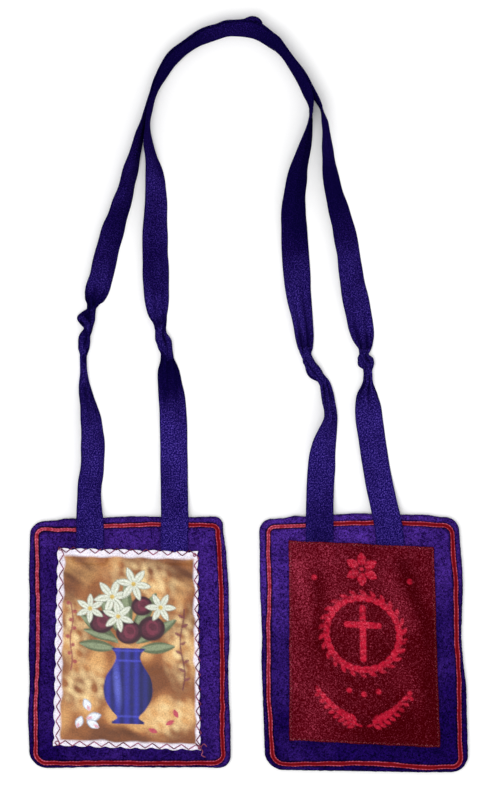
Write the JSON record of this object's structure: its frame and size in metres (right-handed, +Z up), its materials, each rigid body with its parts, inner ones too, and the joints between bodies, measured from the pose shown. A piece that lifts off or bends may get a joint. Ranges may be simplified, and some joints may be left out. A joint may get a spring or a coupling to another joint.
{
  "type": "devotional scapular",
  "caption": "Cloth scapular laid flat: thick felt panels with braid borders and cloth patches, joined by long knotted ribbons that make a head loop.",
  "frame": {"origin": "on the table, at the middle of what lies there", "axes": "+Z up from the table, +Y towards the top of the ribbon loop, +X from the picture panel to the emblem panel"},
  "size_m": [0.1583, 0.2725, 0.01],
  "materials": {
    "felt": "thick purple felt",
    "ribbon": "dark blue-violet ribbon with a fine cross weave",
    "braid": "red flat braid with a groove along its middle",
    "printed_satin": "white satin with a golden brown print",
    "velour": "dark red velour"
  },
  "bodies": {
    "root": {"picture_panel_felt": "felt", "emblem_panel_felt": "felt", "picture_panel_braid": "braid", "emblem_panel_braid": "braid", "picture_patch": "printed_satin", "emblem_patch": "velour", "outer_ribbon": "ribbon", "inner_ribbon": "ribbon", "outer_ribbon_tail_picture": "ribbon", "inner_ribbon_tail_picture": "ribbon", "inner_ribbon_tail_emblem": "ribbon", "outer_ribbon_tail_emblem": "ribbon", "outer_knot_picture": "ribbon", "inner_knot_picture": "ribbon", "inner_knot_emblem": "ribbon", "outer_knot_emblem": "ribbon"}
  },
  "joints": []
}
